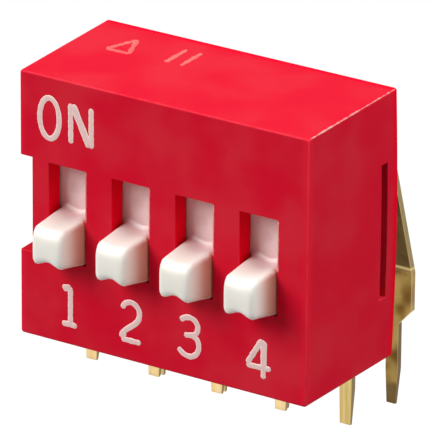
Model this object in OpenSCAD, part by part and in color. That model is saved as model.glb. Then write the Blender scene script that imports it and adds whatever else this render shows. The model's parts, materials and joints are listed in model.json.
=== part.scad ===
// Four-position right-angle DIP slide switch, through-hole, side actuated.
// Frame: X along the row of sliders (0 at the middle), Y into the switch (0 at the
// front face), Z up from the circuit board (0 at the board). Millimetres.

/* [Body] */
// Width of the cover at its rear rim, along the row of sliders
body_w = 11.58; // [11.5:0.01:12]
// Depth of the cover from front face to rear rim
body_d = 5.42; // [5.4:0.01:5.6]
// Height of the cover at its rear rim, above the board
body_h = 9.75; // [9.7:0.01:9.9]
// Mould draft: how far each outer side draws in from the rear rim to the front face
draft = 0.07; // [0:0.01:0.08]
// How far the side walls bow out at the middle of the rear rim, over the pressed-in base
side_bow = 0.11; // [0:0.01:0.12]
// Size of the small radius round the front face
edge_r = 0.08; // [0.05:0.01:0.08]
// Thickness of the cover's front wall
front_wall = 0.7; // [0.65:0.01:0.72]
// Thickness of the cover's walls round the base
rim_wall = 0.72; // [0.68:0.01:0.74]

/* [Sliders] */
// Distance from one slider to the next
pitch = 2.54; // [2.54:0.01:2.54]
// Width of each slot in the front wall
slot_w = 1.51; // [1.5:0.01:1.56]
// Height of the slot's lower end above the board
slot_z0 = 3.08; // [3.04:0.01:3.09]
// Height of the slot's upper end above the board
slot_z1 = 6.56; // [6.55:0.01:6.58]
// How far a slider travels from OFF to ON
travel = 1.6; // [1.5:0.01:1.6]
// How far the knob's tip stands out of the front face
knob_out = 1.31; // [1.2:0.01:1.4]
// Height of the knob's underside above the board, at OFF
knob_z0 = 3.13; // [3.13:0.01:3.2]
// Height of the knob's ridges above the board, at OFF
knob_z1 = 4.79; // [4.7:0.01:4.8]
// Depth of the finger trough along the knob's top
trough_d = 0.14; // [0.1:0.01:0.2]
// How much higher the knob's underside is at its tip than at its root
underside_rise = 0.16; // [0:0.01:0.2]
// How much lower the knob's top is at its tip than at its root
top_fall = 0.07; // [0:0.01:0.1]
// How far the knob's sides draw in from its root to its tip
side_fall = 0.13; // [0:0.01:0.15]
// Depth of the arched groove along the knob's underside
arch_d = 0.16; // [0.08:0.01:0.2]
// Radius of the fillet between the plate and the knob's top
root_fillet = 0.2; // [0.12:0.01:0.2]

/* [Leads] */
// Thickness of the terminal sheet
sheet_t = 0.25; // [0.2:0.01:0.25]
// Distance between the two rows where they leave the back
row_gap = 7.62; // [7.62:0.01:7.62]
// Width of the broad part of an upper terminal
lead_w = 1.5; // [1.3:0.05:1.6]
// Width of a solder pin
pin_w = 0.5; // [0.42:0.01:0.55]
// Distance of the lower terminals' pins behind the front face
lower_row_y = 5.82; // [5.8:0.01:6]
// Distance of the upper terminals' pins behind the front face
upper_row_y = 8.86; // [8.7:0.01:9.1]
// Length of the lower terminals' pins below the board plane
lower_pin_l = 3.15; // [3:0.01:3.5]
// Length of the upper terminals' pins below the board plane
upper_pin_l = 3.5; // [3.2:0.01:3.6]
// Distance of the short front pins behind the front face
front_row_y = 1.6; // [1.5:0.05:1.7]
// Length of the short front pins below the board plane
front_pin_l = 1.03; // [0.9:0.01:1.3]

/* [Hidden] */

cover_red = [0.78, 0.1, 0.15];
base_red = [0.55, 0.06, 0.09];
seal_amber = [0.34, 0.2, 0.1];
knob_white = [0.95, 0.93, 0.9];
gold = [0.83, 0.68, 0.33];
spring_gold = [0.88, 0.74, 0.4];

positions = 4;
eps = 0.01;
over = 1;

// Inside of the cover: one chamber for each slider, then a pocket for the base.
slide_gap = 0.05;
chamber_w = 1.98;
chamber_z0 = 1.33;
chamber_z1 = 8.28;
base_y0 = 3.4;
base_y1 = 5.05;
seal_y1 = 5.28;

// Key notch on the cover's left front edge.
notch_w = 0.5;
notch_d = 1.3;
notch_z0 = 3.15;
notch_z1 = 6.62;

// Latch windows in the two side walls, and the latch ribs of the base in them.
window_y0 = 4.47;
window_y1 = 4.84;
window_z0 = 2.38;
window_z1 = 7.28;
latch_out = 0.34;
latch_gap = 0.02;

// Slider plate behind the front wall, and its two cheeks that hold the contact.
plate_y0 = front_wall + slide_gap;
plate_t = 0.6;
plate_w = chamber_w - 2 * slide_gap;
plate_z0 = chamber_z0 + slide_gap;
plate_z1 = chamber_z1 - travel - slide_gap;
plate_r = 0.15;
knob_w = slot_w - 0.06;
knob_zc = (knob_z0 + knob_z1) / 2;
cheek_t = 0.3;
cheek_y1 = 2.75;
cheek_h = 2.5;
peg_r = 0.22;
peg_l = 0.42;

// Round mark of the ejector pin, sunk in the plate's front over the knob.
mark_r = 0.31;
mark_d = 0.04;
mark_x = -0.16;
mark_up = 1.52;

// Nibs on the cheeks, which settle in notches of the chamber's walls at OFF and ON.
nib_r = 0.1;
nib_out = 0.035;
nib_y0 = 1.9;
nib_y1 = 2.6;

// Moving contact: a bow of thin strip with a rounded nose at each end.
strip_t = 0.12;
strip_w = 0.96;
nose_reach = 1.05;
nose_r = 0.22;
nose_gap = 0.02;

// Terminals: where their contact faces end, and their bends.
pad_w = 1.3;
lower_pad_z1 = 5.3;
upper_pad_z0 = 6.3;
lower_exit_z = body_h / 2 - row_gap / 2;
upper_exit_z = body_h / 2 + row_gap / 2;
inner_y = base_y0 + sheet_t / 2;
neck_y = base_y1 - 0.5;
knee_y = 6.6;
elbow_z = 1.52;
bend_r = 0.3;
lower_bend_r = 0.2;
shoulder_z0 = -0.45;
shoulder_z1 = 0.12;

// Coined tip of every pin: narrower and thinner over its last stretch.
upper_tip_w = 0.37;
lower_tip_w = 0.44;
front_tip_w = 0.42;
tip_t = 0.12;
tip_l = 1.3;
front_tip_l = 0.7;
front_pin_up = 0.85;

// Place of slider k along X, for k from 1 to positions.
function slider_x(k) = (k - (positions + 1) / 2) * pitch;

// Unit vector from a to b.
function unit(a, b) = (b - a) / norm(b - a);

// Points of an arc from angle a0 to a1, in degrees.
function arc(c, r, a0, a1, n) = [for (i = [0:n]) let (a = a0 + (a1 - a0) * i / n) c + r * [cos(a), sin(a)]];

// Outline of a rectangle w by h about its centre, with corners of radius r. Its long
// sides are split into the given numbers of stretches across and up.
function round_rect(w, h, r, across = 1, up = 1, n = 4) = concat(
    arc([w / 2 - r, h / 2 - r], r, 0, 90, n),
    [for (i = [1:1:across - 1]) [(w / 2 - r) * (1 - 2 * i / across), h / 2]],
    arc([r - w / 2, h / 2 - r], r, 90, 180, n),
    [for (i = [1:1:up - 1]) [-w / 2, (h / 2 - r) * (1 - 2 * i / up)]],
    arc([r - w / 2, r - h / 2], r, 180, 270, n),
    [for (i = [1:1:across - 1]) [(r - w / 2) * (1 - 2 * i / across), -h / 2]],
    arc([w / 2 - r, r - h / 2], r, 270, 360, n),
    [for (i = [1:1:up - 1]) [w / 2, (r - h / 2) * (1 - 2 * i / up)]]
);

// One corner b of a path a-b-c, rounded to radius r by n + 1 points.
function bent(a, b, c, r, n) =
    let (
        u = unit(b, a),
        v = unit(b, c),
        half = acos(u * v) / 2,
        centre = b + unit([0, 0], u + v) * r / sin(half),
        p = b + u * r / tan(half) - centre,
        q = b + v * r / tan(half) - centre,
        a0 = atan2(p[1], p[0]),
        turn = atan2(p[0] * q[1] - p[1] * q[0], p * q)
    )
    arc(centre, r, a0, a0 + turn, n);

// A path through the given points with each inner corner rounded.
function rounded_path(pts, r, n = 5) = concat(
    [pts[0]],
    [for (i = [1:len(pts) - 2]) each bent(pts[i - 1], pts[i], pts[i + 1], r, n)],
    [pts[len(pts) - 1]]
);

// Left-hand normal of a path at point i, scaled so that a mitre keeps its width.
function mitre(pts, i) =
    let (
        last = len(pts) - 1,
        u = unit(pts[max(i - 1, 0)], pts[max(i, 1)]),
        v = unit(pts[min(i, last - 1)], pts[min(i + 1, last)]),
        n = unit([0, 0], [-u[1] - v[1], u[0] + v[0]])
    )
    n / (n * [-u[1], u[0]]);

// Outline of a strip of thickness t that follows a path, with further points at its end.
function ribbon(pts, t, end = []) = concat(
    [for (i = [0:len(pts) - 1]) pts[i] + mitre(pts, i) * t / 2],
    end,
    [for (i = [len(pts) - 1:-1:0]) pts[i] - mitre(pts, i) * t / 2]
);

// Draws a Y-Z outline as a bar of width w along X, centred on X = 0.
module across(w) {
    rotate([90, 0, 90])
        translate([0, 0, -w / 2])
            linear_extrude(height = w)
                children();
}

// Draws an X-Z outline as a bar along Y, from y0 to y1.
module along(y0, y1) {
    translate([0, y1, 0])
        rotate([90, 0, 0])
            linear_extrude(height = y1 - y0)
                children();
}

// A box between two heights and two depths, centred on X = 0.
module block(w, y0, y1, z0, z1) {
    translate([-w / 2, y0, z0])
        cube([w, y1 - y0, z1 - z0]);
}

// Repeats its children at every slider position.
module each_position() {
    for (k = [1:positions])
        translate([slider_x(k), 0, 0])
            children();
}

// A closed skin over a row of rings with equal numbers of points, flat at its two ends,
// which every ring's first point sees whole.
module skin(rings) {
    rows = len(rings);
    n = len(rings[0]);
    polyhedron(
        points = [for (ring = rings) each ring],
        faces = concat(
            [[for (i = [0:n - 1]) i]],
            [for (r = [0:rows - 2], i = [0:n - 1])
                let (j = (i + 1) % n)
                each [
                    [r * n + i, (r + 1) * n + i, (r + 1) * n + j],
                    [r * n + i, (r + 1) * n + j, r * n + j]
                ]],
            [[for (i = [0:n - 1]) (rows - 1) * n + (n - i) % n]]
        )
    );
}

// The cover's outer form: drafted sides that bow out a little towards the rear rim,
// and small rounded edges round the front face.
long_edge_r = 0.09;
edge_steps = 3;
function cover_ring(y, inset) = [
    for (p = round_rect(body_w - 2 * inset, body_h - 2 * inset, long_edge_r, 1, 8, 3))
        let (bow = side_bow * pow(y / body_d, 2) * cos(180 * p[1] / body_h))
        [p[0] + (abs(p[0]) > body_w / 2 - 2 * edge_r - draft ? sign(p[0]) * bow : 0), y, body_h / 2 + p[1]]
];
cover_rings = concat(
    [for (y = [body_d, 4.4, 3, 1.5])
        cover_ring(y, draft * (1 - y / body_d))],
    [for (i = [0:edge_steps])
        let (a = 90 * i / edge_steps)
        cover_ring(edge_r * (1 - sin(a)), draft + edge_r * (1 - cos(a)))]
);

module cover_form() {
    skin(cover_rings);
}

// Notches in a chamber's two side walls, which the slider's nibs settle in.
module detent_notches() {
    for (side = [-1, 1], z = [knob_zc, knob_zc + travel])
        translate([side * chamber_w / 2, nib_y1 + slide_gap, z])
            rotate([90, 0, 0])
                cylinder(h = nib_y1 - nib_y0 + 2 * slide_gap, r = nib_r + 0.02, $fn = 24);
}

module cover() {
    color(cover_red)
    difference() {
        cover_form();
        each_position() {
            block(slot_w, -over, front_wall + over, slot_z0, slot_z1);
            block(chamber_w, front_wall, base_y0 + eps, chamber_z0, chamber_z1);
            detent_notches();
            front_pin_form();
        }
        block(body_w - 2 * rim_wall, base_y0, body_d + over, rim_wall, body_h - rim_wall);
        translate([-body_w / 2 + draft - over, -over, notch_z0])
            cube([over + notch_w, over + notch_d, notch_z1 - notch_z0]);
        block(body_w + over, window_y0, window_y1, window_z0, window_z1);
    }
}

// One latch rib: a wedge that slopes on the side that enters the cover first.
module latch_rib() {
    rib_x = body_w / 2 - rim_wall - eps;
    translate([0, 0, window_z0 + 2 * latch_gap])
        linear_extrude(height = window_z1 - window_z0 - 4 * latch_gap)
            polygon([
                [rib_x - 0.1, window_y0 + latch_gap],
                [rib_x, window_y0 + latch_gap],
                [rib_x + latch_out, window_y1 - 3 * latch_gap],
                [rib_x + latch_out, window_y1 - latch_gap],
                [rib_x - 0.1, window_y1 - latch_gap]
            ]);
}

module base() {
    color(base_red)
    difference() {
        union() {
            block(body_w - 2 * rim_wall - 2 * eps, base_y0, base_y1, rim_wall + eps, body_h - rim_wall - eps);
            latch_rib();
            mirror([1, 0, 0])
                latch_rib();
        }
        each_position() {
            upper_terminal_form();
            lower_terminal_form();
        }
    }
}

// Potting resin that closes the back round the terminals.
module seal() {
    color(seal_amber)
    difference() {
        block(body_w - 2 * rim_wall, base_y1, seal_y1, rim_wall, body_h - rim_wall);
        each_position() {
            upper_terminal_form();
            lower_terminal_form();
        }
    }
}

// Share of the finger trough's and the arched groove's depth at place u across the knob,
// from -1 to 1.
hollow_span = 0.9;
function hollow(u) = abs(u) < hollow_span ? (1 + cos(180 * u / hollow_span)) / 2 : 0;

// Knob's tip: depth of its rounding, and height of the rounding above and below. Then the
// rounding of its long edges, how much of that is left under the root, and how much of
// the trough is left at the tip. The root's fillet runs out just inside the plate.
tip_r = 0.34;
tip_top_r = 0.45;
tip_low_r = 0.3;
side_r = 0.2;
root_corner = 0.3;
tip_trough = 0.35;
fillet_steps = 4;
root_y = plate_y0 + 0.005;
stem_y0 = root_y - root_fillet;
stem_y1 = tip_r - knob_out;

// Heights of the underside and of the top at t, from 0 at the root to 1 at the tip. The
// underside is level in the slot and rises from the front face on.
front_t = stem_y0 / (stem_y0 - stem_y1);
function lift(t) = max(0, t - front_t) / (1 - front_t);
function under_z(t, arch, off) =
    knob_z0 + underside_rise * lift(t) + arch + off * (root_corner + (1 - root_corner) * lift(t));
function top_z(t, dip, off) = knob_z1 - top_fall * t - dip * (1 - (1 - tip_trough) * t) - off;
function stem_y(t) = stem_y0 + t * (stem_y1 - stem_y0);

// Side outline of the knob at one place across it, in Y-Z: along the underside, round the
// tip, back along the top and up the fillet. The trough sinks it by dip, the groove by
// arch, and the rounding of the long edges draws it in by off.
function knob_outline(dip, arch, off) = concat(
    [[plate_y0 + plate_t / 2, under_z(0, arch, off)]],
    [for (t = [0, front_t, (1 + front_t) / 2]) [stem_y(t), under_z(t, arch, off)]],
    [for (a = [0:22.5:90])
        [stem_y1 - (tip_r - off) * sin(a), under_z(1, arch, off) + tip_low_r * (1 - cos(a))]],
    [for (a = [90:-18:0])
        [stem_y1 - (tip_r - off) * sin(a), top_z(1, dip, off) - tip_top_r * (1 - cos(a))]],
    [for (t = [0.75, 0.5, 0.25]) [stem_y(t), top_z(t, dip, off)]],
    [for (i = [fillet_steps:-1:0])
        let (a = 90 * i / fillet_steps)
        [root_y - root_fillet * (1 - cos(a)), top_z(0, dip, off) + root_fillet * (1 - sin(a))]],
    [[plate_y0 + plate_t / 2, top_z(0, dip, off) + root_fillet]]
);

// Outlines across the knob, from its right side to its left one, with its taper in plan.
function knob_ring(x, off) =
    let (share = hollow(x * 2 / knob_w))
    [
        for (p = knob_outline(trough_d * share, arch_d * share, off))
            [x * (1 - side_fall * 2 / knob_w * (stem_y0 - p[0]) / (stem_y0 + knob_out)), p[0], p[1]]
    ];
knob_flat = knob_w / 2 - side_r;
knob_rings = concat(
    [for (a = [0:22.5:67.5]) knob_ring(knob_flat + side_r * cos(a), side_r * (1 - sin(a)))],
    [for (i = [4:-1:-4]) knob_ring(knob_flat * i / 4, 0)],
    [for (a = [67.5:-22.5:0]) knob_ring(-knob_flat - side_r * cos(a), side_r * (1 - sin(a)))]
);

module slider(k) {
    color(knob_white)
    translate([slider_x(k), 0, 0]) {
        difference() {
            translate([0, 0, (plate_z0 + plate_z1) / 2])
                along(plate_y0, plate_y0 + plate_t)
                    polygon(round_rect(plate_w, plate_z1 - plate_z0, plate_r));
            translate([mark_x, plate_y0 - eps, knob_zc + mark_up])
                rotate([-90, 0, 0])
                    cylinder(h = mark_d + eps, r1 = mark_r, r2 = mark_r - 2 * mark_d, $fn = 24);
        }
        for (side = [0, 1])
            mirror([side, 0, 0]) {
                translate([plate_w / 2 - cheek_t, plate_y0 + plate_t - eps, knob_zc - cheek_h / 2])
                    cube([cheek_t, cheek_y1 - plate_y0 - plate_t + eps, cheek_h]);
                translate([plate_w / 2 - nib_r + nib_out, nib_y1, knob_zc])
                    rotate([90, 0, 0])
                        cylinder(h = nib_y1 - nib_y0, r = nib_r, $fn = 24);
            }
        translate([0, plate_y0 + plate_t - eps, knob_zc])
            rotate([-90, 0, 0])
                cylinder(h = peg_l, r = peg_r, $fn = 32);
        skin(knob_rings);
    }
}

// Middle line of the moving contact in Y-Z, from its lower nose to its upper one.
bow_y = plate_y0 + plate_t + strip_t / 2;
nose_y = base_y0 - nose_gap - nose_r;
bow_half = [
    [bow_y, 0],
    [bow_y, 0.42],
    [bow_y + 0.75, 0.95],
    [nose_y - 0.05, nose_reach - nose_r + strip_t / 2]
];
nose_arc = arc([nose_y, nose_reach], nose_r - strip_t / 2, -90, 60, 8);
half_path = concat(rounded_path(bow_half, 0.25, 4), nose_arc);

module contact(k) {
    mirrored = [for (i = [len(half_path) - 1:-1:1]) [half_path[i][0], -half_path[i][1]]];
    color(spring_gold)
    translate([slider_x(k), 0, knob_zc])
        difference() {
            across(strip_w)
                polygon(ribbon(concat(mirrored, half_path), strip_t));
            translate([0, plate_y0, 0])
                rotate([-90, 0, 0])
                    cylinder(h = plate_t + strip_t + peg_l, r = peg_r, $fn = 32);
        }
}

// Front outline of a pin from height z down to its tip of width tip_w.
function pin_outline(z, length, taper, tip_w) = [
    [pin_w / 2, z],
    [pin_w / 2, taper - length],
    [tip_w / 2, -length],
    [-tip_w / 2, -length],
    [-pin_w / 2, taper - length],
    [-pin_w / 2, z]
];

// End points of the side outline of a pin whose middle stands at y: the tip is coined
// thinner from the back.
function tip_end(y, length) = [[y - sheet_t / 2 + tip_t, -length], [y - sheet_t / 2, -length]];

// Middle line of an upper terminal: contact face, run through the base, bend down
// behind the body, slope out to the elbow, and the solder pin.
upper_path = rounded_path([
    [inner_y, upper_pad_z0],
    [inner_y, upper_exit_z],
    [knee_y, upper_exit_z],
    [upper_row_y, elbow_z],
    [upper_row_y, tip_l - upper_pin_l]
], bend_r);

module upper_terminal_form() {
    wide = lead_w / 2;
    intersection() {
        across(lead_w + over)
            polygon(ribbon(upper_path, sheet_t, tip_end(upper_row_y, upper_pin_l)));
        union() {
            block(pad_w, base_y0 - over, neck_y, upper_pad_z0 - over, body_h);
            along(neck_y, upper_row_y + over)
                polygon(concat(
                    [[wide, body_h], [wide, shoulder_z1]],
                    pin_outline(shoulder_z0, upper_pin_l, tip_l, upper_tip_w),
                    [[-wide, shoulder_z1], [-wide, body_h]]
                ));
        }
    }
}

// Middle line of a lower terminal: contact face, run through the base, pin.
lower_path = rounded_path([
    [inner_y, lower_pad_z1],
    [inner_y, lower_exit_z],
    [lower_row_y, lower_exit_z],
    [lower_row_y, tip_l - lower_pin_l]
], lower_bend_r);

module lower_terminal_form() {
    intersection() {
        across(lead_w)
            polygon(ribbon(lower_path, sheet_t, tip_end(lower_row_y, lower_pin_l)));
        union() {
            block(pad_w, base_y0 - over, neck_y, 0, lower_pad_z1 + over);
            along(neck_y, lower_row_y + over)
                polygon(pin_outline(body_h / 2, lower_pin_l, tip_l, lower_tip_w));
        }
    }
}

module upper_terminal(k) {
    color(gold)
    translate([slider_x(k), 0, 0])
        upper_terminal_form();
}

module lower_terminal(k) {
    color(gold)
    translate([slider_x(k), 0, 0])
        lower_terminal_form();
}

// A short flat pin set in the cover's floor, with the same coined tip.
module front_pin_form() {
    middle = [[front_row_y, front_pin_up], [front_row_y, front_tip_l - front_pin_l]];
    intersection() {
        across(pin_w + over)
            polygon(ribbon(middle, sheet_t, tip_end(front_row_y, front_pin_l)));
        along(front_row_y - over, front_row_y + over)
            polygon(pin_outline(front_pin_up, front_pin_l, front_tip_l, front_tip_w));
    }
}

module front_pin(k) {
    color(gold)
    translate([slider_x(k), 0, 0])
        front_pin_form();
}

cover();
base();
seal();
slider(1);  // slider_1
slider(2);  // slider_2
slider(3);  // slider_3
slider(4);  // slider_4
contact(1);  // contact_1
contact(2);  // contact_2
contact(3);  // contact_3
contact(4);  // contact_4
upper_terminal(1);  // upper_terminal_1
upper_terminal(2);  // upper_terminal_2
upper_terminal(3);  // upper_terminal_3
upper_terminal(4);  // upper_terminal_4
lower_terminal(1);  // lower_terminal_1
lower_terminal(2);  // lower_terminal_2
lower_terminal(3);  // lower_terminal_3
lower_terminal(4);  // lower_terminal_4
front_pin(1);  // front_pin_1
front_pin(2);  // front_pin_2
front_pin(3);  // front_pin_3
front_pin(4);  // front_pin_4
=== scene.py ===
"""Looks of a four-position side-actuated slide switch for circuit boards.

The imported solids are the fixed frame. This file dresses them: moulded red cover,
white sliders, plated leads, potting resin and the printed legends of the front.
Sizes in the classes are millimetres, in the same frame as the solids: X along the row
of sliders, Y from the front face into the switch, Z up from the board. PITCH is the step
of the row, HALF_WIDTH the cover's reach along X, and ROW_END the reach of its slots.
"""

from __future__ import annotations

import json
import logging
import math
from dataclasses import dataclass
from enum import Enum

import bmesh
import bpy
from mathutils import Matrix, Vector

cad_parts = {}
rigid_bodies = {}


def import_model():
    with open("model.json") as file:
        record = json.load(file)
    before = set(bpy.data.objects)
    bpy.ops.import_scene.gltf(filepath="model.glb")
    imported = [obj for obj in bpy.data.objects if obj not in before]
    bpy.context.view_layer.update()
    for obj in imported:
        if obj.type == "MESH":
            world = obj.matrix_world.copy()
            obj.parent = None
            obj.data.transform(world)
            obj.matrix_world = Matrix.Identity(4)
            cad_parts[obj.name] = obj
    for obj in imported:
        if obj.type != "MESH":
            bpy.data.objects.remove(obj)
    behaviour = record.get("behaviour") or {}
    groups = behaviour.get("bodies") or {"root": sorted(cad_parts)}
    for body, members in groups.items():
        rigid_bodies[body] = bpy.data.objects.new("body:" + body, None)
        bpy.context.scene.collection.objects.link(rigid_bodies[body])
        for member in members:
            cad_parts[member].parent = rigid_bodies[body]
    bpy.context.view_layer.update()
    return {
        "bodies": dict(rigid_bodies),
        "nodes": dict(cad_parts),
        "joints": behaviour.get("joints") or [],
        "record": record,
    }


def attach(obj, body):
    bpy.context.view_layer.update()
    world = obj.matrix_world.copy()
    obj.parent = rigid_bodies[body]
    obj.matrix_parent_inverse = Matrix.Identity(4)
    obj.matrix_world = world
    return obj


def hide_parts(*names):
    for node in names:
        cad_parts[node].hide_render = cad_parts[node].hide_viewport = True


LOG = logging.getLogger("slide_switch")
MM = 0.001
HOUSING = "housing"
POSITIONS = (1, 2, 3, 4)
PITCH = 2.54
HALF_WIDTH = 5.79
ROW_END = 5.3

WHITE = (1.0, 1.0, 1.0)

FLOAT = "NodeSocketFloat"
VECTOR = "NodeSocketVector"
GEOMETRY = "NodeSocketGeometry"
MATERIAL = "NodeSocketMaterial"

Node = bpy.types.Node
Tree = bpy.types.NodeTree
Socket = bpy.types.NodeSocket
Sockets = bpy.types.bpy_prop_collection
Material = bpy.types.Material
Object = bpy.types.Object
Mesh = bpy.types.Mesh
Point = tuple[float, float]
Place = tuple[float, float, float]
Stroke = tuple[Point, ...]
Colour = tuple[float, float, float]
Value = float | int | bool | tuple | Vector | Socket
Inputs = dict[str | int, Value]


class Slot(Enum):
    """Material slots of the part."""

    COVER = "cover"
    BASE = "base"
    SEAL = "seal"
    SLIDER = "slider"
    CONTACT = "contact"
    LEAD = "lead"


class Lead(Enum):
    """The three rows of leads, by the names of their solids."""

    UPPER = "upper_terminal"
    LOWER = "lower_terminal"
    FRONT = "front_pin"


# ---- nodes


class NodeWeaver:
    """Adds the nodes of one tree, joins them, and lays them out from left to right."""

    COLUMN = 190
    ROW = 220
    ROWS = 3

    def __init__(self, tree: Tree) -> None:
        """Starts on the empty shader or geometry tree that it fills."""
        self.tree = tree
        self.count = 0

    def node(self, kind: str, inputs: Inputs | None = None, **settings: object) -> Node:
        """Adds a node, sets it and feeds its inputs.

        Args:
            kind: The node's type name.
            inputs: Values or sockets for its inputs, by name or number.
            **settings: The node's own properties.

        Returns:
            The new node.
        """
        made = self.tree.nodes.new(kind)
        column, row = divmod(self.count, self.ROWS)
        made.location = (self.COLUMN * column, -self.ROW * row)
        self.count += 1
        for name, value in settings.items():
            setattr(made, name, value)
        for key, value in (inputs or {}).items():
            self.feed(made.inputs[key], value)
        return made

    def first(self, kind: str, inputs: Inputs | None = None, **settings: object) -> Socket:
        """Adds a node as node() does, and gives its first output."""
        return self.node(kind, inputs, **settings).outputs[0]

    def group(self, tree: Tree, **inputs: Value) -> Sockets:
        """Adds a node group, and gives its outputs."""
        return self.node("ShaderNodeGroup", inputs, node_tree=tree).outputs

    def feed(self, socket: Socket, value: Value) -> None:
        """Joins a socket to another one, or sets its plain value.

        Args:
            socket: The input socket.
            value: A socket, or a plain value. A colour may lack its alpha.
        """
        if isinstance(value, Socket):
            self.tree.links.new(value, socket)
        elif hasattr(socket, "default_value"):
            bare = socket.type == "RGBA" and len(value) == 3
            socket.default_value = rgba(value) if bare else value

    def coordinates(self, kind: str) -> Socket:
        """Adds the piece's own coordinates, by the name of their kind."""
        return self.node("ShaderNodeTexCoord").outputs[kind]

    def axes(self, vector: Value) -> list[Socket]:
        """Splits a vector into its X, Y and Z."""
        return list(self.node("ShaderNodeSeparateXYZ", {0: vector}).outputs)

    def math(self, operation: str, *values: Value, clamp: bool = False) -> Socket:
        """Adds a sum on one number, or on two or more in turn.

        Args:
            operation: The name of the sum, such as SUBTRACT.
            *values: The numbers or sockets.
            clamp: Whether each result stays from 0 to 1.

        Returns:
            The socket with the result.
        """
        result, *others = values
        for other in others or [0.0]:
            made = self.node("ShaderNodeMath", {0: result, 1: other}, operation=operation)
            made.use_clamp = clamp
            result = made.outputs[0]
        return result

    def times(self, *values: Value) -> Socket:
        """Multiplies numbers or sockets with one another."""
        return self.math("MULTIPLY", *values)

    def most(self, *values: Value) -> Socket:
        """Takes the greatest of some numbers or sockets."""
        return self.math("MAXIMUM", *values)

    def mapped(self, value: Value, low: float, high: float, to: Point = (0.0, 1.0)) -> Socket:
        """Maps a range of a number smoothly on another range.

        Args:
            value: The number or socket.
            low: Where the range starts.
            high: Where it ends.
            to: The values that the two ends get.

        Returns:
            The socket with the mapped number.
        """
        ends = {"From Min": low, "From Max": high, "To Min": to[0], "To Max": to[1]}
        ends["Value"] = value
        return self.first("ShaderNodeMapRange", ends, interpolation_type="SMOOTHSTEP")

    def mix(self, share: Value, first: Value, second: Value) -> Socket:
        """Mixes two colours.

        Args:
            share: How much of the second colour shows, from 0 to 1.
            first: The first colour or socket.
            second: The second colour or socket.

        Returns:
            The socket with the mixed colour.
        """
        colours = {0: share, 6: first, 7: second}
        made = self.node("ShaderNodeMix", colours, data_type="RGBA", clamp_factor=True)
        return made.outputs[2]

    def noise(
        self, vector: Value, scale: Value, detail: float = 3.0, rough: float = 0.55
    ) -> Socket:
        """Adds a noise.

        Args:
            vector: The coordinates, in metres.
            scale: The number of blotches along a metre.
            detail: How many finer layers it has.
            rough: How strong the finer layers are.

        Returns:
            The socket with the noise, from 0 to 1.
        """
        values = {"Vector": vector, "Scale": scale, "Detail": detail, "Roughness": rough}
        return self.node("ShaderNodeTexNoise", values).outputs["Fac"]

    def bump(self, normal: Socket, height: Socket, depth: float, strength: float) -> None:
        """Feeds a height to a shader's normal. Its full depth is in millimetres."""
        relief = {"Height": height, "Distance": depth * MM, "Strength": strength}
        self.feed(normal, self.first("ShaderNodeBump", relief))

    def blotches(self, vector: Value, size: float, detail: float = 3.0) -> Socket:
        """Adds a noise whose blotches have a given size, in millimetres."""
        return self.noise(vector, 1.0 / (size * MM), detail)


def rgba(colour: Colour) -> tuple[float, float, float, float]:
    """Gives a colour its alpha of 1."""
    return (*colour, 1.0)


def new_group(
    name: str,
    takes: list[tuple[str, str, float | None]],
    gives: list[tuple[str, str]],
    kind: str = "ShaderNodeTree",
) -> tuple[NodeWeaver, Sockets, Sockets]:
    """Makes a node group with named inputs and outputs.

    Args:
        name: The group's name.
        takes: Name, socket type and default value of each input, or None for no default.
        gives: Name and socket type of each output.
        kind: ShaderNodeTree or GeometryNodeTree.

    Returns:
        The weaver on the new tree, the sockets it takes from, and those it gives to.
    """
    tree = bpy.data.node_groups.new(name, kind)
    for label, socket, default in takes:
        made = tree.interface.new_socket(label, in_out="INPUT", socket_type=socket)
        if default is not None:
            made.default_value = default
    for label, socket in gives:
        tree.interface.new_socket(label, in_out="OUTPUT", socket_type=socket)
    weaver = NodeWeaver(tree)
    entry = weaver.node("NodeGroupInput").outputs
    return weaver, entry, weaver.node("NodeGroupOutput").inputs


def put(name: str, data: bpy.types.ID) -> Object:
    """Adds an object with its data to the scene, and gives it back."""
    made = bpy.data.objects.new(name, data)
    bpy.context.scene.collection.objects.link(made)
    return made


def plain_mesh(thing: Object, name: str) -> Mesh:
    """Makes one plain mesh of an object and its modifiers.

    Args:
        thing: The object.
        name: The mesh's name.

    Returns:
        The new mesh.
    """
    graph = bpy.context.evaluated_depsgraph_get()
    mesh = bpy.data.meshes.new_from_object(thing.evaluated_get(graph), depsgraph=graph)
    mesh.name = name
    return mesh


# ---- shared shader effects


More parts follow.
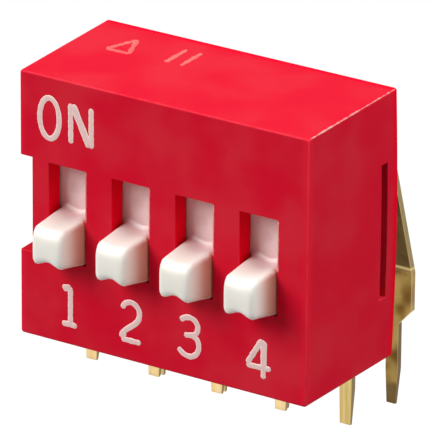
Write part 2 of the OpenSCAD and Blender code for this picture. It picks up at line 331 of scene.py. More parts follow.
class Effects:
    """Shader node groups that several finishes use, each built once."""

    def __init__(self) -> None:
        """Builds the three groups."""
        self.grain = self._grain()
        self.edges = self._edges()
        self.rolled = self._rolled()

    def _grain(self) -> Tree:
        """Fine texture of a mould's wall with soft clouds and a few specks.

        Returns:
            The group, with Height, Cloud and Speck outputs.
        """
        weaver, entry, leave = new_group(
            "mould_grain",
            [("Place", VECTOR, None), ("Fine scale", FLOAT, 14e3), ("Cloud scale", FLOAT, 420.0)],
            [("Height", FLOAT), ("Cloud", FLOAT), ("Speck", FLOAT)],
        )
        place, clouds = entry["Place"], entry["Cloud scale"]
        cells = {"Vector": place, "Scale": weaver.times(clouds, 3.1)}
        cells = weaver.node("ShaderNodeTexVoronoi", cells).outputs["Distance"]
        weaver.feed(leave["Height"], weaver.noise(place, entry["Fine scale"], 4.0, 0.6))
        weaver.feed(leave["Cloud"], weaver.noise(place, clouds, 2.5, 0.5))
        weaver.feed(leave["Speck"], weaver.mapped(cells, 0.02, 0.07, (1.0, 0.0)))
        return weaver.tree

    def _edges(self) -> Tree:
        """Mask of rounded edges: where the surface faces between two axes.

        Returns:
            The group, with a Mask output from 0 on flats to 1 on edges.
        """
        weaver, entry, leave = new_group(
            "rounded_edges",
            [("Start", FLOAT, 0.985), ("Full", FLOAT, 0.85)],
            [("Mask", FLOAT)],
        )
        facing = {0: weaver.coordinates("Normal")}
        size = weaver.first("ShaderNodeVectorMath", facing, operation="ABSOLUTE")
        ends = {"From Min": entry["Start"], "From Max": entry["Full"]}
        ends["Value"] = weaver.most(*weaver.axes(size))
        weaver.feed(leave["Mask"], weaver.first("ShaderNodeMapRange", ends))
        return weaver.tree

    def _rolled(self) -> Tree:
        """Streaks along Z that rolling and drawing leave on metal strip.

        Returns:
            The group, with Streak and Stain outputs.
        """
        weaver, entry, leave = new_group(
            "rolled_streaks",
            [("Place", VECTOR, None), ("Width scale", FLOAT, 9000.0)],
            [("Streak", FLOAT), ("Stain", FLOAT)],
        )
        place = entry["Place"]
        long = weaver.first("ShaderNodeMapping", {"Vector": place, "Scale": (1.0, 1.0, 0.06)})
        weaver.feed(leave["Streak"], weaver.noise(long, entry["Width scale"], 3.0, 0.5))
        weaver.feed(leave["Stain"], weaver.noise(place, 1600.0, 4.0, 0.65))
        return weaver.tree


# ---- finishes


def empty_tree(owner: Material | bpy.types.World) -> NodeWeaver:
    """Gives a material or a world an empty shader tree, with a weaver on it."""
    owner.use_nodes = True
    owner.node_tree.nodes.clear()
    return NodeWeaver(owner.node_tree)


@dataclass(frozen=True)
class Finish:
    """A material with a Principled shader, ready for its own nodes."""

    name: str
    colour: Colour

    def start(self) -> tuple[Material, NodeWeaver, Sockets, Socket]:
        """Makes the material with its shader and output.

        Returns:
            The material, the weaver on its tree, the shader's inputs and the piece's
            own coordinates.
        """
        material = bpy.data.materials.new(self.name)
        material.diffuse_color = rgba(self.colour)
        weaver = empty_tree(material)
        shader = weaver.node("ShaderNodeBsdfPrincipled")
        weaver.node("ShaderNodeOutputMaterial", {"Surface": shader.outputs[0]})
        return material, weaver, shader.inputs, weaver.coordinates("Object")


@dataclass(frozen=True)
class MouldedPlastic(Finish):
    """Moulded plastic with a fine grain, soft clouds and paler edges, partly wear and partly
    painted highlight.

    Between two depths behind the front face its tone turns to a colour of painted light and
    shade: a brighter strip at the cover's back, a pinkish painted shade on the sliders.
    Between two other depths, the faces that look along the row turn to a colour of painted
    lighting, apart from the housing's ends: brighter slot walls on the cover, a warm painted
    shade on the sliders' sides. The upright front edges turn to a painted highlight colour.
    """

    cloud_colour: Colour
    edge_wear_and_highlight_colour: Colour
    roughness: float = 0.42
    specular: float = 0.4
    glow: float = 0.0
    glow_colour: Colour = (1.0, 0.72, 0.5)
    glow_depth: float = 0.35
    grain_depth: float = 0.004
    edge_share: float = 0.5
    depth_lighting_colour: Colour = (0.5, 0.0, 0.0)
    depth_lighting_from: float = 20.0
    depth_lighting_full: float = 21.0
    flank_lighting_colour: Colour = (0.62, 0.25, 0.17)
    flank_lighting_share: float = 0.0
    flank_lighting_from: float = -1.15
    flank_lighting_full: float = -0.1
    lip_colour: Colour = (0.82, 0.012, 0.035)
    lip_share: float = 0.0
    lip_width: float = 0.42
    edge_wear_highlight_low: float = 0.45

    def build(self, effects: Effects) -> Material:
        """Builds the material.

        Args:
            effects: The shared node groups.

        Returns:
            The finished material.
        """
        material, weaver, shader, place = self.start()
        grain = weaver.group(effects.grain, Place=place)
        edges = weaver.group(effects.edges)["Mask"]
        cloud = weaver.mapped(grain["Cloud"], 0.35, 0.68)
        base = weaver.mix(cloud, self.colour, self.cloud_colour)
        base = self._placed(weaver, place, base)
        # Paler rounded edges, broken by blotches: partly wear, partly painted highlight.
        broken = weaver.mapped(weaver.blotches(place, 0.35), 0.3, 0.62, (self.edge_wear_highlight_low, 1.0))
        worn = weaver.times(edges, broken, self.edge_share)
        weaver.feed(shader["Base Color"], weaver.mix(worn, base, self.edge_wear_and_highlight_colour))
        rough = (self.roughness - 0.05, self.roughness + 0.06)
        weaver.feed(shader["Roughness"], weaver.mapped(grain["Cloud"], 0.3, 0.7, rough))
        height = weaver.math("SUBTRACT", grain["Height"], weaver.times(grain["Speck"], 0.35))
        weaver.bump(shader["Normal"], height, self.grain_depth, 0.35)
        shader["Specular IOR Level"].default_value = self.specular
        shader["Subsurface Weight"].default_value = self.glow
        shader["Subsurface Radius"].default_value = self.glow_colour
        shader["Subsurface Scale"].default_value = self.glow_depth * MM
        return material

    def _placed(self, weaver: NodeWeaver, place: Socket, base: Socket) -> Socket:
        """Paints light and shade into the colour: by depth, at the upright front edges, on the
        sides.

        Args:
            weaver: The weaver on the material's tree.
            place: The piece's own coordinates.
            base: The socket with the plain colour.

        Returns:
            The socket with the colour.
        """
        along, depth, _ = weaver.axes(place)
        # Painted light and shade by depth: a brighter strip at the cover's back, a pinkish painted
        # shade on the sliders towards and inside the slot.
        depth_lighting = weaver.mapped(depth, self.depth_lighting_from * MM, self.depth_lighting_full * MM)
        base = weaver.mix(depth_lighting, base, self.depth_lighting_colour)
        along = weaver.math("ABSOLUTE", along)
        # Painted highlight band along the upright front edges.
        gap = weaver.most(weaver.math("SUBTRACT", HALF_WIDTH * MM, along), depth)
        lip = weaver.mapped(gap, self.lip_width * MM, 0.0, (0.0, self.lip_share))
        base = weaver.mix(lip, base, self.lip_colour)
        # Painted lighting on the faces that look along the row: brighter red on the cover's slot
        # walls, a warm painted shade on the sliders' sides.
        sideways = weaver.math("ABSOLUTE", weaver.axes(weaver.coordinates("Normal"))[0])
        flank_lighting = weaver.times(
            weaver.mapped(sideways, 0.5, 0.95, (0.0, self.flank_lighting_share)),
            weaver.mapped(depth, self.flank_lighting_from * MM, self.flank_lighting_full * MM),
            weaver.mapped(along, ROW_END * MM, (ROW_END - 0.1) * MM),
        )
        return weaver.mix(flank_lighting, base, self.flank_lighting_colour)


@dataclass(frozen=True)
class PlatedStrip(Finish):
    """Gold-plated strip with rolling streaks, darker sides, tips and rounded edges, partly
    bare sheared metal and partly painted shade.

    The faces that look at the body can carry a painted shade that stands in for the body's
    dark reflection. It is darkest above the elbow, with a painted highlight along the fold.
    """

    colour: Colour = (0.6, 0.42, 0.155)
    pale: Colour = (0.72, 0.54, 0.23)
    bare_metal_and_shade: Colour = (0.1, 0.06, 0.025)
    roughness: float = 0.17
    side_from: float = -0.3
    side_share: float = 0.8
    reflection_shade_share: float = 0.0
    reflection_shade_low: Colour = (0.13, 0.062, 0.012)
    reflection_shade_pale: Colour = (0.36, 0.235, 0.07)
    reflection_shade_high: Colour = (0.05, 0.021, 0.003)
    elbow: float = 1.72
    flank_lighting_share: float = 0.85
    tip_start: float = -2.75
    tip_share: float = 0.0
    rim_highlight_share: float = 0.4
    rim_bare_and_shade: float = 0.3

    def build(self, effects: Effects) -> Material:
        """Builds the material.

        Args:
            effects: The shared node groups.

        Returns:
            The finished material.
        """
        material, weaver, shader, place = self.start()
        rolled = weaver.group(effects.rolled, Place=place)
        edges = weaver.group(effects.edges)["Mask"]
        blotch = rolled["Stain"]
        height = weaver.axes(place)[2]
        across, inward, _ = weaver.axes(weaver.coordinates("Normal"))
        side = weaver.mapped(weaver.math("ABSOLUTE", across), 0.6, 0.9)
        streak = weaver.mapped(rolled["Streak"], 0.3, 0.7)
        metal = weaver.mix(streak, self.colour, self.pale)
        # Painted shade for the body's dark reflection on the faces that look at it, and a painted
        # highlight along the rounded edges.
        if self.reflection_shade_share:
            metal = self._reflection_shaded(weaver, place, side, inward, metal)
            rim_highlight = weaver.times(edges, self.rim_highlight_share * self.reflection_shade_share)
            metal = weaver.mix(rim_highlight, metal, self.pale)
        # Darker sides, tips and rounded edges: partly bare sheared metal, partly painted shade. The
        # dark blotches are stain.
        low, high = (self.side_from - 0.2) * MM, (self.side_from + 0.2) * MM
        below = weaver.mapped(height, high, low)
        ragged = weaver.math("ADD", height, weaver.times(blotch, 0.4 * MM))
        tip = weaver.mapped(ragged, (self.tip_start + 0.35) * MM, (self.tip_start + 0.1) * MM)
        dark = weaver.most(
            weaver.times(side, below, self.side_share),
            weaver.times(tip, self.tip_share),
            weaver.mapped(blotch, 0.58, 0.8, (0.0, 0.3)),
            weaver.times(edges, self.rim_bare_and_shade * (1.0 - self.reflection_shade_share)),
        )
        weaver.feed(shader["Base Color"], weaver.mix(dark, metal, self.bare_metal_and_shade))
        rough = (self.roughness - 0.04, self.roughness + 0.12)
        weaver.feed(shader["Roughness"], weaver.mapped(blotch, 0.35, 0.75, rough))
        shader["Metallic"].default_value = 1.0
        weaver.bump(shader["Normal"], rolled["Streak"], 0.004, 0.25)
        return material

    def _reflection_shaded(
        self, weaver: NodeWeaver, place: Socket, side: Socket, inward: Socket, metal: Socket
    ) -> Socket:
        """Paints shade for the body's dark reflection on the faces that look at it, and less on the
        sheared sides.

        Args:
            weaver: The weaver on the material's tree.
            place: The piece's own coordinates.
            side: The mask of the sheared sides.
            inward: The Y part of the facing.
            metal: The socket with the clean metal's colour.

        Returns:
            The socket with the colour.
        """
        height = weaver.axes(place)[2]
        inner = weaver.mapped(inward, -0.3, -0.75)
        above = weaver.mapped(height, (self.elbow - 0.03) * MM, (self.elbow + 0.05) * MM)
        soft = weaver.mapped(weaver.blotches(place, 0.9, 1.0), 0.36, 0.64)
        low = weaver.mix(soft, self.reflection_shade_low, self.reflection_shade_pale)
        # Painted highlight along the fold at the elbow.
        from_elbow = weaver.math("ABSOLUTE", weaver.math("SUBTRACT", height, self.elbow * MM))
        worn = weaver.mapped(from_elbow, 0.02 * MM, 0.09 * MM, (0.65, 0.0))
        reflection_shaded = weaver.mix(worn, weaver.mix(above, low, self.reflection_shade_high), self.pale)
        # Painted shade on the sheared sides, stronger below the elbow.
        side_reflection_shade = weaver.mapped(above, 0.0, 1.0, (self.flank_lighting_share, 0.75 * self.flank_lighting_share))
        inner = weaver.most(inner, weaver.times(side, side_reflection_shade))
        return weaver.mix(weaver.times(inner, self.reflection_shade_share), metal, reflection_shaded)


@dataclass(frozen=True)
class PottingResin(Finish):
    """Glossy dark resin, poured, with fine bubbles."""

    colour: Colour = (0.045, 0.018, 0.008)
    thin: Colour = (0.12, 0.045, 0.015)

    def build(self, effects: Effects) -> Material:
        """Builds the material.

        Args:
            effects: The shared node groups.

        Returns:
            The finished material.
        """
        material, weaver, shader, place = self.start()
        grain = weaver.group(effects.grain, Place=place)
        cloud = weaver.mapped(grain["Cloud"], 0.3, 0.7)
        weaver.feed(shader["Base Color"], weaver.mix(cloud, self.colour, self.thin))
        weaver.feed(shader["Roughness"], weaver.mapped(grain["Speck"], 0.0, 1.0, (0.12, 0.4)))
        swell = weaver.blotches(place, 1.6, 1.0)
        height = weaver.math("SUBTRACT", swell, weaver.times(grain["Speck"], 0.4))
        weaver.bump(shader["Normal"], height, 0.12, 0.5)
        shader["Coat Weight"].default_value = 0.5
        shader["Coat Roughness"].default_value = 0.08
        return material


@dataclass(frozen=True)
class PrintedInk(Finish):
    """Thick white print with a painted highlight along the edges of each stroke."""

    colour: Colour = (0.8, 0.57, 0.54)
    worn: Colour = (0.72, 0.44, 0.42)
    rim_highlight: Colour = (1.0, 0.74, 0.69)

    def build(self, effects: Effects) -> Material:
        """Builds the material.

        Args:
            effects: The shared node groups.

        Returns:
            The finished material.
        """
        material, weaver, shader, place = self.start()
        grain = weaver.group(effects.grain, Place=place)
        across = weaver.node("ShaderNodeAttribute", attribute_name=BeadSweep.ACROSS)
        # Painted highlight along the edges of each stroke.
        rim_highlight = weaver.mapped(across.outputs["Fac"], 0.55, 0.85)
        patchy = weaver.mapped(weaver.blotches(place, 0.12), 0.3, 0.7, (0.0, 0.35))
        ink = weaver.mix(patchy, self.colour, self.worn)
        weaver.feed(shader["Base Color"], weaver.mix(rim_highlight, ink, self.rim_highlight))
        weaver.feed(shader["Roughness"], weaver.mapped(grain["Cloud"], 0.3, 0.7, (0.42, 0.6)))
        weaver.bump(shader["Normal"], weaver.blotches(place, 0.05), 0.006, 0.4)
        return material


class FinishSet:
    """Every material of the switch, by its use."""

    def __init__(self) -> None:
        """Builds the shared node groups and the materials."""
        shared = Effects()
        self.cover = MouldedPlastic(
            "red_cover_plastic",
            colour=(0.645, 0.006, 0.026),
            cloud_colour=(0.65, 0.02, 0.038),
            edge_wear_and_highlight_colour=(0.92, 0.06, 0.09),
            roughness=0.5,
            specular=0.015,
            edge_share=0.55,
            # Painted light: a brighter strip at the back, brighter slot walls and a highlight band
            # at the upright front edges.
            depth_lighting_colour=(0.8, 0.0, 0.02),
            depth_lighting_from=5.0,
            depth_lighting_full=5.35,
            flank_lighting_colour=(0.95, 0.0, 0.02),
            flank_lighting_share=0.9,
            flank_lighting_from=0.0,
            flank_lighting_full=0.05,
            lip_share=0.8,
        ).build(shared)
        self.base = MouldedPlastic(
            "dark_red_base_plastic",
            colour=(0.36, 0.005, 0.012),
            cloud_colour=(0.4, 0.008, 0.016),
            edge_wear_and_highlight_colour=(0.6, 0.06, 0.07),
            specular=0.2,
        ).build(shared)
        # Raised top marks in a paler red than the cover.
        self.relief = MouldedPlastic(
            "pale_red_relief",
            colour=(0.72, 0.085, 0.095),
            cloud_colour=(0.72, 0.14, 0.13),
            edge_wear_and_highlight_colour=(0.78, 0.18, 0.17),
            roughness=0.5,
            specular=0.1,
        ).build(shared)
        # Paler red of the flash beads: a painted highlight on the cover's edges.
        self.edge_glint = MouldedPlastic(
            "red_edge_glint",
            colour=(0.86, 0.14, 0.16),
            cloud_colour=(0.9, 0.38, 0.35),
            edge_wear_and_highlight_colour=(0.9, 0.42, 0.38),
            roughness=0.4,
            specular=0.3,
        ).build(shared)
        self.slider = MouldedPlastic(
            "white_slider_plastic",
            colour=(0.88, 0.85, 0.77),
            cloud_colour=(0.91, 0.88, 0.81),
            edge_wear_and_highlight_colour=(0.96, 0.95, 0.91),
            roughness=0.36,
            glow=0.25,
            grain_depth=0.003,
            # Painted shade: pinkish towards the slot, warm on the sides.
            depth_lighting_colour=(0.74, 0.55, 0.54),
            depth_lighting_from=-0.75,
            depth_lighting_full=0.75,
            flank_lighting_share=0.9,
        ).build(shared)
        self.contact = PlatedStrip("spring_plating", side_share=0.3, roughness=0.22).build(shared)
        self.seal = PottingResin("potting_resin").build(shared)
        self.ink = PrintedInk("legend_ink").build(shared)
        strips = {
            # The upper leads carry the painted shade of the body's reflection.
            Lead.UPPER: PlatedStrip("upper_lead_plating", reflection_shade_share=1.0, tip_share=0.8),
            Lead.LOWER: PlatedStrip(
                "lower_lead_plating",
                colour=(0.54, 0.39, 0.14),
                pale=(0.66, 0.5, 0.2),
                side_from=9.0,
            ),
            Lead.FRONT: PlatedStrip(
                "front_pin_plating",
                colour=(0.78, 0.55, 0.25),
                pale=(0.87, 0.64, 0.33),
                side_from=9.0,
                tip_share=0.3,
                tip_start=-1.0,
            ),
        }
        self.leads = {row: strip.build(shared) for row, strip in strips.items()}


# ---- dressed solids


@dataclass
class DressedSolid:
    """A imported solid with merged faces, smooth curves and softened edges."""

    frame: dict
    node: str
    name: str
    material: Material
    slot: Slot
    body: str = HOUSING
    bevel: float = 0.0
    merge: float = 0.0002
    flat_angle: float = 0.4
    smooth_angle: float = 35.0
    area_weight: int = 90

    def build(self) -> None:
        """Copies the solid's mesh, cleans it, and puts it in the solid's place."""
        mesh = self.frame["nodes"][self.node].data.copy()
        self._clean(mesh)
        mesh.materials.clear()
        mesh.materials.append(self.material)
        piece = put(self.name, mesh)
        mesh.shade_smooth()
        if self.bevel:
            edge = piece.modifiers.new("soft_edges", "BEVEL")
            edge.width = self.bevel * MM
            edge.segments = 2
            edge.limit_method = "ANGLE"
            edge.angle_limit = math.radians(self.smooth_angle)
        mesh.set_sharp_from_angle(angle=math.radians(self.smooth_angle))
        level = piece.modifiers.new("even_faces", "WEIGHTED_NORMAL")
        level.keep_sharp = True
        level.weight = self.area_weight
        piece.data = plain_mesh(piece, self.name)
        piece.modifiers.clear()
        bpy.data.meshes.remove(mesh)
        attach(piece, self.body)
        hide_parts(self.node)
        LOG.info("dressed %s as %s, %d faces", self.node, self.name, len(piece.data.polygons))

    def _clean(self, mesh: Mesh) -> None:
        """Merges the solid's loose corners and its flat faces.

        Args:
            mesh: The copy of the solid's mesh.
        """
        if "custom_normal" in mesh.attributes:
            mesh.attributes.remove(mesh.attributes["custom_normal"])
        shape = bmesh.new()
        shape.from_mesh(mesh)
        bmesh.ops.remove_doubles(shape, verts=shape.verts, dist=self.merge * MM)
        if self.flat_angle:
            flat = math.radians(self.flat_angle)
            bmesh.ops.dissolve_limit(shape, angle_limit=flat, verts=shape.verts, edges=shape.edges)
        shape.to_mesh(mesh)
        shape.free()


# ---- legends, marks and collars


def middle_of(k: int) -> float:
    """X of the middle of a position."""
    return (k - 2.5) * PITCH


def oval(centre: Point, radius: Point, steps: int) -> Stroke:
    """Points round an oval, anticlockwise from its top and back to it.

    Args:
        centre: Its centre.
        radius: Its half width and half height.
        steps: The number of stretches.

    Returns:
        The points. The first one is also the last.
    """
    (x, z), (wide, tall) = centre, radius
    turn = [math.radians(90.0 + 360.0 * i / steps) for i in range(steps)]
    points = [(x + wide * math.cos(a), z + tall * math.sin(a)) for a in turn]
    return (*points, points[0])


@dataclass(frozen=True)
class Bead:
    """Size and lie of a low swept bead, in millimetres."""

    half_width: float
    height: float
    facing: Place = (0.0, -1.0, 0.0)
    wobble: float = 0.0
    seed: float = 0.0
    step: float = 0.03


class BeadSweep:
    """Sweeps low beads with round ends along lines, by geometry nodes.

    ACROSS names the attribute from 0 at a bead's middle to 1 at its edges. SWELL is the
    size of its swells.
    """

    ACROSS = "across"
    SWELL = 0.16

    def __init__(self) -> None:
        """Builds the node tree."""
        self.tree = self._tree()

    def _tree(self) -> Tree:
        """Builds the tree: a flat oval profile along each line, thinner at its ends.

        Returns:
            The geometry node group.
        """
        weaver, entry, leave = new_group(
            "swept_bead",
            [
                ("Geometry", GEOMETRY, None),
                ("Half width", FLOAT, None),
                ("Height", FLOAT, None),
                ("Step", FLOAT, None),
                ("Facing", VECTOR, None),
                ("Wobble", FLOAT, None),
                ("Seed", FLOAT, None),
                ("Finish", MATERIAL, None),
            ],
            [("Geometry", GEOMETRY)],
            "GeometryNodeTree",
        )
        half = entry["Half width"]
        line = weaver.first(
            "GeometryNodeCurveSplineType", {"Curve": entry["Geometry"]}, spline_type="CATMULL_ROM"
        )
        line = {"Curve": line, "Length": entry["Step"]}
        line = weaver.first("GeometryNodeResampleCurve", line, mode="LENGTH")
        faced = weaver.node("GeometryNodeSetCurveNormal", {"Curve": line}, mode="FREE")
        weaver.feed(faced.inputs["Normal"], entry["Facing"])
        circle = weaver.first("GeometryNodeCurvePrimitiveCircle", {"Resolution": 16, "Radius": 1.0})
        side = weaver.axes(weaver.first("GeometryNodeInputPosition"))[1]
        marked = weaver.first(
            "GeometryNodeStoreNamedAttribute",
            {"Geometry": circle, "Name": self.ACROSS, "Value": weaver.math("ABSOLUTE", side)},
            data_type="FLOAT",
            domain="POINT",
        )
        flat = weaver.first("ShaderNodeCombineXYZ", {0: entry["Height"], 1: half, 2: 1.0})
        section = weaver.first("GeometryNodeTransform", {"Geometry": marked, "Scale": flat})
        swell = self._swell(weaver, entry["Seed"], entry["Wobble"])
        bead = {"Curve": faced.outputs[0], "Profile Curve": section, "Fill Caps": True}
        bead["Scale"] = weaver.times(self._ends(weaver, half), swell)
        bead = weaver.first("GeometryNodeCurveToMesh", bead)
        weaver.feed(leave["Geometry"], real_shape(weaver, bead, entry["Finish"]))
        return weaver.tree

    @staticmethod
    def _ends(weaver: NodeWeaver, half: Socket) -> Socket:
        """Adds the share of the width that rounds both ends of an open line.

        Args:
            weaver: The weaver on the tree.
            half: The socket with half the bead's width.

        Returns:
            The socket with the share, from 0.05 at an end to 1.
        """
        along = weaver.node("GeometryNodeSplineParameter").outputs["Length"]
        whole = weaver.node("GeometryNodeSplineLength").outputs["Length"]
        left = weaver.math("SUBTRACT", whole, along)
        near = weaver.math("DIVIDE", weaver.math("MINIMUM", along, left), half, clamp=True)
        far = weaver.math("SUBTRACT", 1.0, near)
        round_end = weaver.math("SQRT", weaver.math("SUBTRACT", 1.0, weaver.times(far, far)))
        return weaver.most(round_end, weaver.first("GeometryNodeInputSplineCyclic"), 0.05)

    @staticmethod
    def _swell(weaver: NodeWeaver, seed: Socket, wobble: Socket) -> Socket:
        """Adds the uneven thickness along a line.

        Args:
            weaver: The weaver on the tree.
            seed: The socket that picks the noise.
            wobble: The socket with the largest swing.

        Returns:
            The socket with a factor about 1.
        """
        values = {"Scale": 1.0 / (BeadSweep.SWELL * MM), "Detail": 2.0, "W": seed}
        rough = weaver.node("ShaderNodeTexNoise", values, noise_dimensions="4D").outputs["Fac"]
        swing = weaver.mapped(rough, 0.3, 0.7, (-1.0, 1.0))
        return weaver.math("ADD", 1.0, weaver.times(swing, wobble))

    def run(self, name: str, lines: list[list[Place]], bead: Bead, finish: Material) -> Object:
        """Makes one piece of beads on the housing.

        Args:
            name: The piece's name.
            lines: Rows of points, in millimetres. A line that ends where it starts closes.
            bead: The bead's size and lie.
            finish: Its material.

        Returns:
            The piece.
        """
        curve = bpy.data.curves.new(name, "CURVE")
        curve.dimensions = "3D"
        for line in lines:
            closed = line[0] == line[-1]
            spline = curve.splines.new("POLY")
            spline.points.add(len(line) - 1 - closed)
            spline.use_cyclic_u = closed
            for point, place in zip(spline.points, line):
                point.co = (*(v * MM for v in place), 1.0)
        sizes = {"Half width": bead.half_width, "Height": bead.height, "Step": bead.step}
        values = {label: size * MM for label, size in sizes.items()}
        values |= {"Facing": bead.facing, "Wobble": bead.wobble, "Seed": bead.seed}
        values["Finish"] = finish
        return grow(put(name + "_line", curve), self.tree, name, values)


def real_shape(weaver: NodeWeaver, shape: Socket, finish: Socket) -> Socket:
    """Ends a geometry tree: makes its shape real and gives it its material."""
    real = weaver.first("GeometryNodeRealizeInstances", {"Geometry": shape})
    return weaver.first("GeometryNodeSetMaterial", {"Geometry": real, "Material": finish})


def grow(source: Object, tree: Tree, name: str, inputs: dict[str, object]) -> Object:
    """Runs geometry nodes on an object and keeps the result as a plain piece of the housing.

    Args:
        source: The object that the nodes start from. It is removed.
        tree: The geometry node group.
        name: The new piece's name.
        inputs: Values for the group's inputs, by name.

    Returns:
        The new piece, at the origin.
    """
    modifier = source.modifiers.new(name, "NODES")
    modifier.node_group = tree
    for item in tree.interface.items_tree:
        if item.item_type == "SOCKET" and item.in_out == "INPUT" and item.name in inputs:
            modifier[item.identifier] = inputs[item.name]
    bpy.context.view_layer.update()
    mesh = plain_mesh(source, name)
    mesh.shade_smooth()
    source.modifiers.remove(modifier)
    bpy.data.objects.remove(source)
    piece = put(name, mesh)
    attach(piece, HOUSING)
    LOG.info("grew %s, %d faces", name, len(mesh.polygons))
    return piece


@dataclass
class FrontLegends:
    """The printed signs of the front face: ON over the sliders, 1 to 4 under them."""

    sweep: BeadSweep
    ink: Material
    half_width: float = 0.102
    height: float = 0.018
    wobble: float = 0.09

    def glyphs(self) -> dict[str, tuple[Stroke, ...]]:
        """Draws the middle lines of the strokes. A smooth curve joins a stroke's points.

        Returns:
            The strokes of each sign, as X and Z on the front face, by the piece's name.
        """
        ring = oval((-4.512, 8.184), (0.392, 0.73), 40)
        uprights = (((-3.662, 8.9), (-3.65, 7.46)), ((-2.835, 8.9), (-2.832, 7.45)))
        broad = (((-3.55, 8.9), (-2.86, 7.5)), ((-3.61, 8.88), (-2.93, 7.46)))
        one = (
            ((-3.676, 2.225), (-3.676, 0.84)),
            ((-3.66, 2.235), (-3.8, 2.19), (-4.01, 2.14)),
            ((-3.68, 2.16), (-3.8, 2.14), (-3.97, 2.08)),
            ((-4.03, 0.815), (-3.7, 0.84), (-3.41, 0.815)),
        )
        two_bow = (
            *((-1.565, 1.94), (-1.51, 2.09), (-1.38, 2.2), (-1.2, 2.235), (-1.02, 2.16)),
            *((-0.905, 2.01), (-0.882, 1.83), (-0.94, 1.64), (-1.07, 1.48), (-1.24, 1.34)),
            *((-1.43, 1.19), (-1.57, 1.03), (-1.62, 0.86)),
        )
        two = (two_bow, ((-1.62, 0.83), (-0.82, 0.83)), ((-1.6, 0.88), (-1.45, 1.1)))
        three_top = (
            *((0.75, 2.07), (0.91, 2.2), (1.13, 2.25), (1.33, 2.18), (1.44, 2.02)),
            *((1.44, 1.84), (1.36, 1.7), (1.2, 1.62), (0.9, 1.575)),
        )
        three_low = (
            *((1.2, 1.62), (1.39, 1.54), (1.48, 1.38), (1.49, 1.18), (1.4, 0.98)),
            *((1.22, 0.85), (1.04, 0.835), (0.84, 0.91), (0.67, 1.06)),
        )
        four = (
            ((4.0, 2.13), (3.43, 1.2)),
            ((3.96, 2.1), (3.41, 1.14)),
            ((3.38, 1.1), (4.35, 1.13)),
            ((4.03, 2.13), (4.05, 0.72)),
            ((4.08, 2.1), (4.08, 1.1)),
        )
        return {
            "legend_O": (ring,),
            "legend_N": uprights + broad,
            "legend_1": one,
            "legend_2": two,
            "legend_3": (three_top, three_low),
            "legend_4": four,
        }

    def build(self) -> None:
        """Prints each sign as one thin piece on the front face."""
        for seed, (name, strokes) in enumerate(self.glyphs().items()):
            bead = Bead(self.half_width, self.height, wobble=self.wobble, seed=float(seed))
            lines = [[(x, 0.0, z) for x, z in stroke] for stroke in strokes]
            self.sweep.run(name, lines, bead, self.ink)


@dataclass
class CoverMarks:
    """Fine relief of the cover: top mould marks, and edge flash beads painted as highlights."""

    sweep: BeadSweep
    finishes: FinishSet
    top: float = 9.75
    depth: float = 5.42
    draft: float = 0.07
    slot_half: float = 0.755
    slot_low: float = 4.7
    slot_high: float = 6.52
    inset: float = 0.012
    flash_start: float = 0.12
    flash_step: float = 0.2
    flash_steps: int = 27

    def rise(self, y: float) -> float:
        """Height of the top face at depth y, from its mould draft."""
        return self.top - self.draft * (1.0 - y / self.depth)

    def reach(self, y: float) -> float:
        """Half the top face's width at depth y."""
        return HALF_WIDTH - self.draft * (1.0 - y / self.depth)

    def build(self) -> None:
        """Makes the marks and the edge lines."""
        flat = Bead(0.085, 0.03, facing=(0.0, 0.0, 1.0), wobble=0.3)
        tips = [(-4.3, 3.15), (-3.4, 3.15), (-3.85, 4.35)]
        wedge = [self._on_top([tips[i], tips[(i + 1) % 3]]) for i in range(3)]
        bars = [self._on_top([(x, 3.2), (x, 4.5)]) for x in (-1.95, -1.35)]
        depths = [self.flash_start + self.flash_step * i for i in range(self.flash_steps)]
        corner = [(self.reach(y) - self.inset, y, self.rise(y) - self.inset) for y in depths]
        # Flash beads in a paler red that paints the highlight on the top right edge and on the
        # slots' right edges.
        slope = Bead(0.019, 0.009, facing=(0.7, 0.0, 0.7), wobble=0.98, seed=5.0)
        side = self.slot_half + self.inset
        slots = [
            [(middle_of(k) + side, 0.0, z) for z in (self.slot_low, self.slot_high)]
            for k in POSITIONS
        ]
        rim_highlight = Bead(0.026, 0.022, wobble=0.45, seed=9.0)
        relief, edge_glint = self.finishes.relief, self.finishes.edge_glint
        for name, lines, bead, finish in (
            ("top_index_mark", wedge, flat, relief),
            ("top_cavity_bars", bars, flat, relief),
            ("top_right_flash_glint", [corner], slope, edge_glint),
            ("slot_edge_burr_glint", slots, rim_highlight, edge_glint),
        ):
            piece = self.sweep.run(name, lines, bead, finish)

    def _on_top(self, row: list[Point]) -> list[Place]:
        """Lays a row of X and Y points on the top face."""
        return [(x, y, self.rise(y)) for x, y in row]


